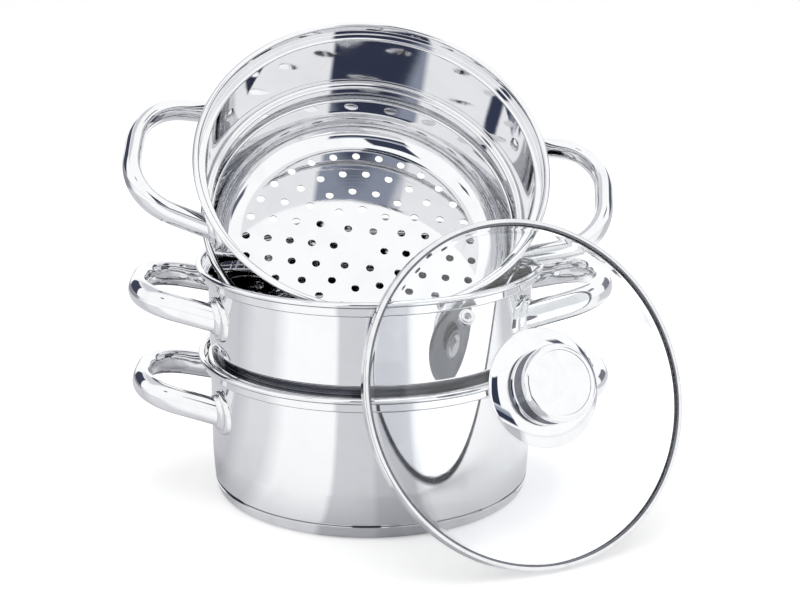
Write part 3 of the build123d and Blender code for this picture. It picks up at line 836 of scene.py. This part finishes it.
# Knob: a spun shell on a round base plate, with a dished cap
knob = {"plateRadius": 30.6, "sheet": 0.8, "lift": 2.0, "skirtSteps": 16, "lipShare": 0.3, "flat": 1.0,
        "foot": 19.8, "footHeight": 1.4, "neck": 15.6, "neckHeight": 4.6, "head": 19.8,
        "headHeight": 10.6, "height": 16.0, "round": 2.6, "cap": 16.2, "capSink": 0.5, "capDish": 0.8,
        "capSheet": 0.8, "capPlay": 0.1, "capEdge": 0.15, "dishSteps": 24, "gap": 0.2, "seatGap": 0.02,
        "bore": 2.8, "shadeSlope": -0.2, "neckShade": (0.2, 0.6)}
knobBase = lid["apex"] + knob["lift"]


def makeKnob():
    sheet = knob["sheet"]
    fall = knobBase - (glassHeight(knob["plateRadius"]) + knob["gap"] + sheet)
    skirt = [Vector((knob["foot"] + out, knobBase - drop)) for out, drop in
             bowed(knob["plateRadius"] - knob["foot"], fall, knob["skirtSteps"])]
    path = [Vector((knob["bore"], knobBase)), Vector((knob["foot"] - knob["flat"], knobBase))] + skirt
    under = thickened(path, sheet)
    lip = path[-1].lerp(under[-1], 0.5) + (path[-1] - path[-2]).normalized() * sheet * knob["lipShare"]
    # the plate's underside gets the dark steel, painted shade over the glass
    finishPiece("knobBasePlate", toMesh(lathe(path + [lip] + under[::-1])), "lid", "knob_steel",
                ["knob_base_plate"], sharp=60, dull=lambda centre, normal: normal.z < knob["shadeSlope"])

    foot = knobBase + knob["seatGap"]
    top, brow = foot + knob["height"], foot + knob["headHeight"]
    points = [(knob["foot"], foot), (knob["foot"], foot + knob["footHeight"]),
              (knob["neck"], foot + knob["neckHeight"]), (knob["head"], brow), (knob["head"], top),
              (knob["cap"] + knob["gap"], top)]
    path = bent(points, [sheet, knob["round"], knob["round"], knob["round"]])

    # the neck under the head gets the dark steel, painted shade
    def onNeck(centre, normal):
        inside, outside = knob["neckShade"]
        beside = knob["neck"] - inside < centre.xy.length < knob["foot"] - outside
        return beside and centre.z < brow and normal.xy.dot(centre.xy) > 0

    finishPiece("knobShell", toMesh(lathe(closedSheet(path, -sheet))), "lid", "knob_steel",
                ["knob_shell"], dull=onNeck)

    cap, dip = knob["cap"], knob["capDish"]
    middle = top - knob["capSink"] - dip
    dish = [Vector((out, middle + rise)) for out, rise in bowed(cap, dip, knob["dishSteps"])]
    dish += [Vector((cap + knob["capEdge"], middle + dip - knob["capEdge"]))]
    outline = closedSheet(dish, knob["capSheet"] - knob["capPlay"])
    finishPiece("knobCap", toMesh(lathe(outline, closed=False)), "lid", "knob_steel", ["knob_cap"])


makeGlass()
makeBand()
makeVent()
makeKnob()
print("lid made")

# Solids that stay as they are get their finish
keptFinishes = {"pot_base_core": aluminium, "knob_core": aluminium, "knob_seals": silicone,
                "knob_washer": finishes["screw_steel"], "knob_screw": finishes["screw_steel"]}
for node, material in keptFinishes.items():
    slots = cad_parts[node].data.materials
    slots.clear()
    slots.append(material)


# Studio: what polished steel reflects, by the direction from the object
studio = {
    "white": (1.0, 1.0, 1.0), "strength": 1.2, "ambient": 0.7,
    # from and to in degrees: turn is counted from the viewer's side towards the right
    "patches": [
        {"turn": (-17, 24), "rise": (9, 16), "tone": (0.3, 0.33, 0.4), "soft": 2.5},
        {"turn": (-17, 24), "rise": (3, 11), "tone": (0.035, 0.042, 0.075), "soft": 1.5},
        {"turn": (-14, 7), "rise": (17, 42), "tone": (0.035, 0.042, 0.075), "soft": 1.5},
        {"turn": (-141, -107), "rise": (-2, 34), "tone": (0.05, 0.055, 0.085), "soft": 3.0},
        {"turn": (-112, -88), "rise": (48, 58), "tone": (0.12, 0.13, 0.17), "soft": 4.0},
        {"turn": (110, 138), "rise": (-2, 24), "tone": (0.09, 0.1, 0.14), "soft": 3.0},
        {"turn": (-50, -42), "rise": (36, 43), "tone": (0.04, 0.05, 0.09), "soft": 1.5},
        {"turn": (70, 88), "rise": (31, 42), "tone": (0.1, 0.11, 0.15), "soft": 3.0},
        {"turn": (-165, -85), "rise": (38, 82), "tone": (0.62, 0.63, 0.66), "soft": 14.0},
    ],
}


def buildPatch():  # a mask that is 1 between two turns and two rises, with soft sides
    group, given, result = startGroup("Studio patch", [
        (label, "Float", value) for label, value in (
            ("Turn", 0.0), ("Rise", 0.0), ("Turn From", 0.0), ("Turn To", 0.0), ("Rise From", 0.0),
            ("Rise To", 0.0), ("Softness", 4.0))], [("Mask", "Float")])

    def rising(value, edge):
        low = calc(group, "SUBTRACT", edge, calc(group, "MULTIPLY", given["Softness"], 0.5))
        return calc(group, "DIVIDE", calc(group, "SUBTRACT", value, low), given["Softness"], clamp=True)

    def between(label):
        falling = calc(group, "SUBTRACT", 1.0, rising(given[label], given[f"{label} To"]))
        return calc(group, "MULTIPLY", rising(given[label], given[f"{label} From"]), falling)

    group.links.new(calc(group, "MULTIPLY", between("Turn"), between("Rise")), result["Mask"])
    return group


studioPatch = buildPatch()


def turnOf(tree, parts):  # degrees from the viewer's side towards the right
    towardsViewer = calc(tree, "MULTIPLY", parts[1], -1.0)
    return calc(tree, "DEGREES", calc(tree, "ARCTAN2", parts[0], towardsViewer))


def patchMask(tree, turn, rise, turns, rises, soft):
    return useGroup(tree, studioPatch, {
        "Turn": turn, "Rise": rise, "Turn From": turns[0], "Turn To": turns[1],
        "Rise From": rises[0], "Rise To": rises[1], "Softness": soft})["Mask"]


def makeWorld():
    world = bpy.data.worlds.new("studio")
    scene.world = world
    world.use_nodes = True
    tree = world.node_tree
    tree.nodes.clear()
    way = split(tree, put(tree, "ShaderNodeTexCoord").outputs["Generated"])
    turn = turnOf(tree, way)
    rise = calc(tree, "DEGREES", calc(tree, "ARCSINE", way[2]))
    white = colour = (*studio["white"], 1)
    for patch in studio["patches"]:
        mask = patchMask(tree, turn, rise, patch["turn"], patch["rise"], patch["soft"])
        colour = mixColour(tree, mask, colour, (*patch["tone"], 1))
    path = put(tree, "ShaderNodeLightPath").outputs
    seen = calc(tree, "MAXIMUM", path["Is Camera Ray"], path["Is Transmission Ray"])
    mirrored = put(tree, "ShaderNodeBackground", {"Color": colour, "Strength": studio["strength"]})
    plain = put(tree, "ShaderNodeBackground", {"Color": white, "Strength": 1.0})
    soft = put(tree, "ShaderNodeBackground", {"Color": white, "Strength": studio["ambient"]})
    lit = put(tree, "ShaderNodeMixShader", {0: path["Is Glossy Ray"], 1: soft.outputs[0],
                                            2: mirrored.outputs[0]})
    whole = put(tree, "ShaderNodeMixShader", {0: seen, 1: lit.outputs[0], 2: plain.outputs[0]})
    put(tree, "ShaderNodeOutputWorld", {0: whole.outputs[0]})


# Floor: white paper that steel sees in soft steps of grey, by turn and distance from the object; the
# grey steps are painted shade seen only in reflections
floorLook = {"size": 6.0, "drop": 0.2, "paper": (0.93, 0.93, 0.93), "blueHold": 0.92, "rough": 0.9,
             "shine": 0.1, "glow": 0.34, "mirroredGlow": 0.3, "farSoft": 0.02, "nearSoft": 0.05,
             "bands": [{"turn": (-20, 23.5), "far": (0.0, 5.0), "tone": 0.64, "soft": 3.0},
                       {"turn": (2, 27), "far": (0.0, 5.0), "tone": 0.82, "soft": 3.0},
                       {"turn": (-185, -92), "far": (0.0, 5.0), "tone": 0.6, "soft": 26.0},
                       {"turn": (-100, -58), "far": (0.0, 0.6), "tone": 0.74, "soft": 12.0},
                       {"turn": (-145, -100), "far": (0.6, 5.0), "tone": 0.45, "soft": 8.0},
                       {"turn": (92, 150), "far": (0.35, 5.0), "tone": 0.6, "soft": 8.0},
                       # the last band is a painted shadow round the object's foot
                       {"turn": (-185, 185), "far": (0.0, 0.115), "tone": 0.8, "soft": 3.0}]}


def bandMask(tree, turn, far, band):
    low, high = band["far"]
    nearSoft, farSoft = floorLook["nearSoft"], floorLook["farSoft"]
    side = patchMask(tree, turn, 0.0, band["turn"], (-90.0, 90.0), band["soft"])
    reach = calc(tree, "SUBTRACT", 1.0, soften(tree, far, high - farSoft, high + farSoft))
    start = soften(tree, far, low - nearSoft, low + nearSoft)
    return calc(tree, "MULTIPLY", side, calc(tree, "MULTIPLY", reach, start))


def makeFloor():
    shape = bmesh.new()
    bmesh.ops.create_grid(shape, x_segments=2, y_segments=2, size=floorLook["size"] / 2)
    mesh = toMesh(shape, recalculate=False)
    floor = addObject("floor", mesh)
    floor.location.z = -floorLook["drop"] * mm
    material, tree, shader = startMaterial("paper floor")
    at = split(tree, put(tree, "ShaderNodeNewGeometry").outputs["Position"])
    turn, far = turnOf(tree, at), flatLength(tree, at)
    path = put(tree, "ShaderNodeLightPath").outputs
    tone = 1.0
    for band in floorLook["bands"]:  # only mirror rays see the bands
        mask = calc(tree, "MULTIPLY", bandMask(tree, turn, far, band), path["Is Glossy Ray"])
        kept = calc(tree, "SUBTRACT", 1.0, calc(tree, "MULTIPLY", mask, 1 - band["tone"]))
        tone = calc(tree, "MULTIPLY", tone, kept)
    tint = combine(tree, tone, tone, calc(tree, "POWER", tone, floorLook["blueHold"]))
    colour = mixColour(tree, 1.0, (*floorLook["paper"], 1), tint, blend="MULTIPLY")
    # camera, glossy and glass rays see the paper a little brighter, so it is white around the shadow
    seen = calc(tree, "MAXIMUM", path["Is Camera Ray"], path["Is Transmission Ray"])
    glow = calc(tree, "MULTIPLY_ADD", path["Is Glossy Ray"], floorLook["mirroredGlow"],
                calc(tree, "MULTIPLY", seen, floorLook["glow"]))
    tree.links.new(colour, shader.inputs["Base Color"])
    tree.links.new(colour, shader.inputs["Emission Color"])
    tree.links.new(glow, shader.inputs["Emission Strength"])
    shader.inputs["Roughness"].default_value = floorLook["rough"]
    shader.inputs["Specular IOR Level"].default_value = floorLook["shine"]
    mesh.materials.append(material)


lamps = {
    "overhead": {"place": (0.1, -0.1, 1.5), "aim": (0, 0, 0.1), "size": (1.6, 1.6), "power": 7.0},
    "side": {"place": (-1.4, -0.5, 0.9), "aim": (0, 0, 0.1), "size": (1.0, 1.0), "power": 4.0},
}


def makeLamps():
    for name, lamp in lamps.items():
        data = bpy.data.lights.new(name, "AREA")
        data.shape, data.size, data.size_y = "RECTANGLE", *lamp["size"]
        data.energy = lamp["power"]
        light = addObject(name, data)
        light.location = lamp["place"]
        ray = Vector(lamp["aim"]) - Vector(lamp["place"])
        light.rotation_euler = ray.to_track_quat("-Z", "Y").to_euler()
        light.visible_glossy = False


makeWorld()
makeFloor()
makeLamps()
print("studio ready")
